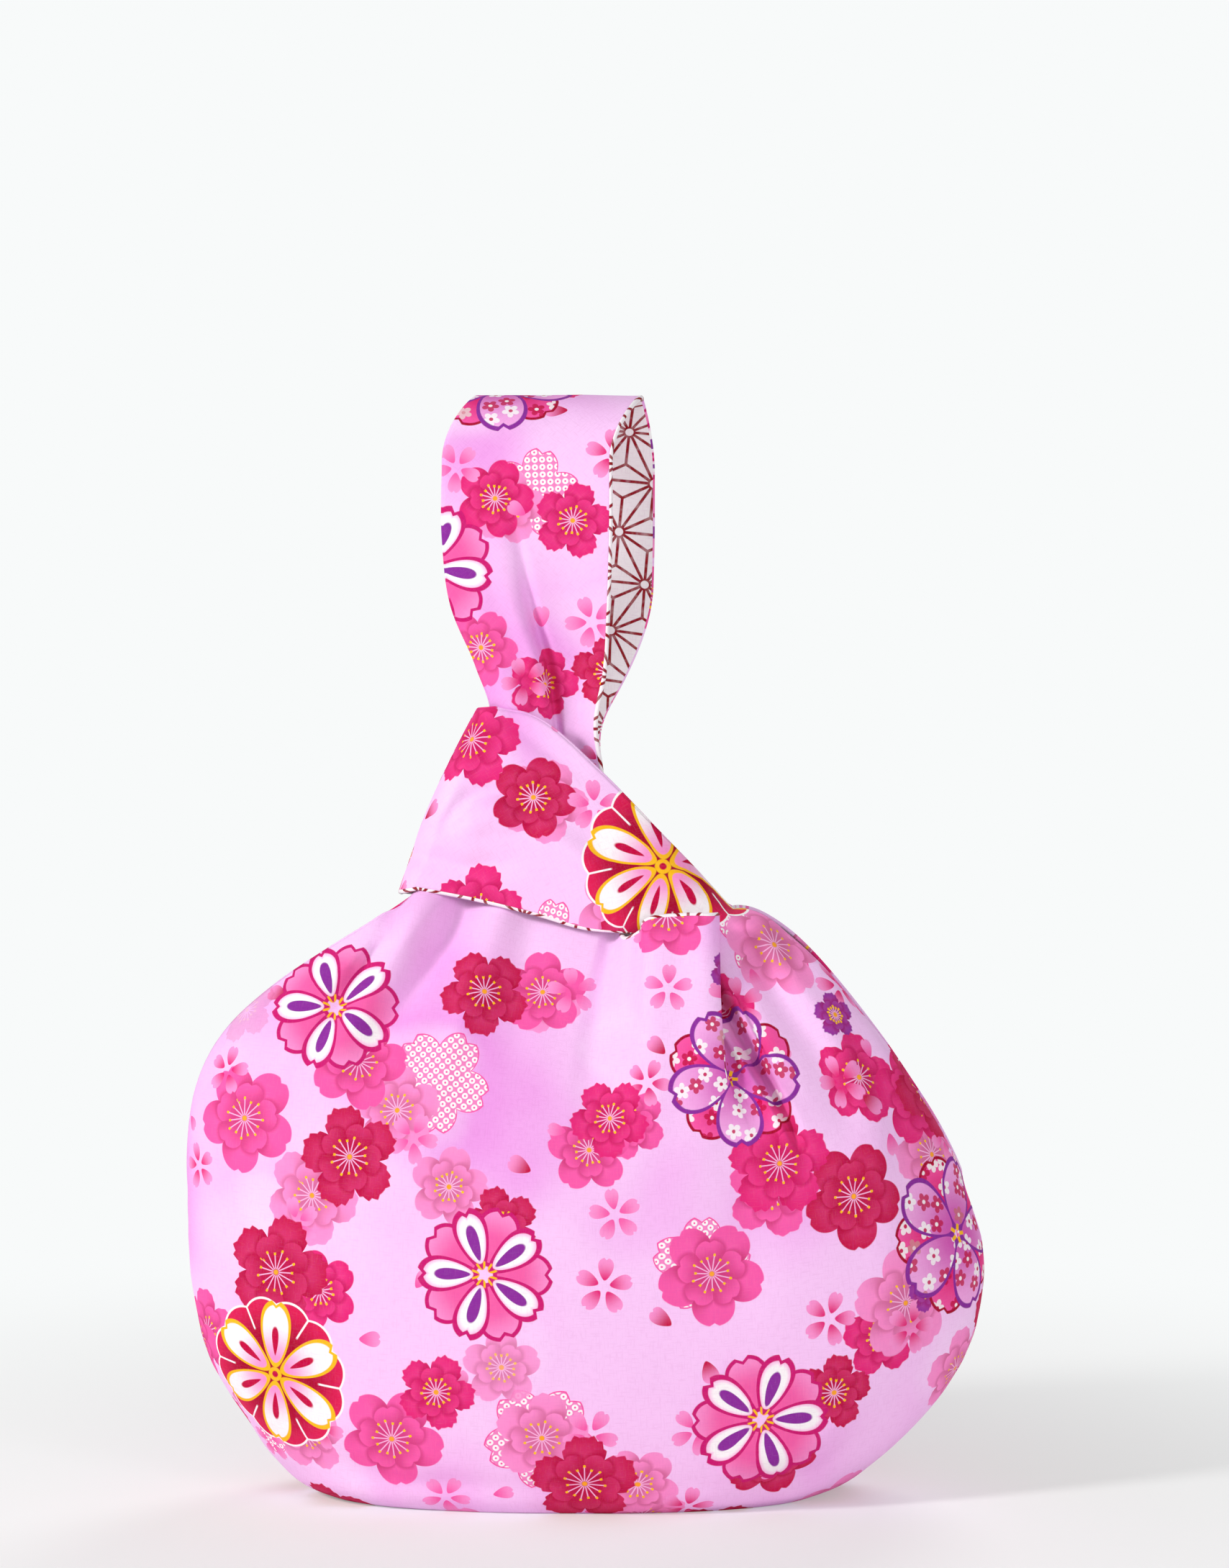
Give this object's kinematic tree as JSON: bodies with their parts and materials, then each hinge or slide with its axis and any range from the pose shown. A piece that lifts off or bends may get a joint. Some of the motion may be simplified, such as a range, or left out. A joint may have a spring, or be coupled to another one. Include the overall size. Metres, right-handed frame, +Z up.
{
  "type": "knot bag",
  "caption": "Standing cotton knot bag with a boxed base, its long handle drawn through the short handle's ring, in a pink blossom print with a star-patterned lining.",
  "frame": {"origin": "middle of the bounding box's underside, on the surface that the bag stands on", "axes": "+Z up, -Y towards the front with the mouth flap and the ring's visible band, +X to the right as seen from the front"},
  "size_m": [0.3318, 0.1252, 0.455],
  "materials": {
    "printed_cotton": "matt plain-weave cotton with a blossom print on pale lilac pink",
    "lining_cotton": "matt plain-weave cotton, off-white with dark red hemp-leaf star lines"
  },
  "bodies": {
    "root": {"outer_front_panel": "printed_cotton", "outer_back_panel": "printed_cotton", "lining_front_panel": "lining_cotton", "lining_back_panel": "lining_cotton"}
  },
  "joints": []
}
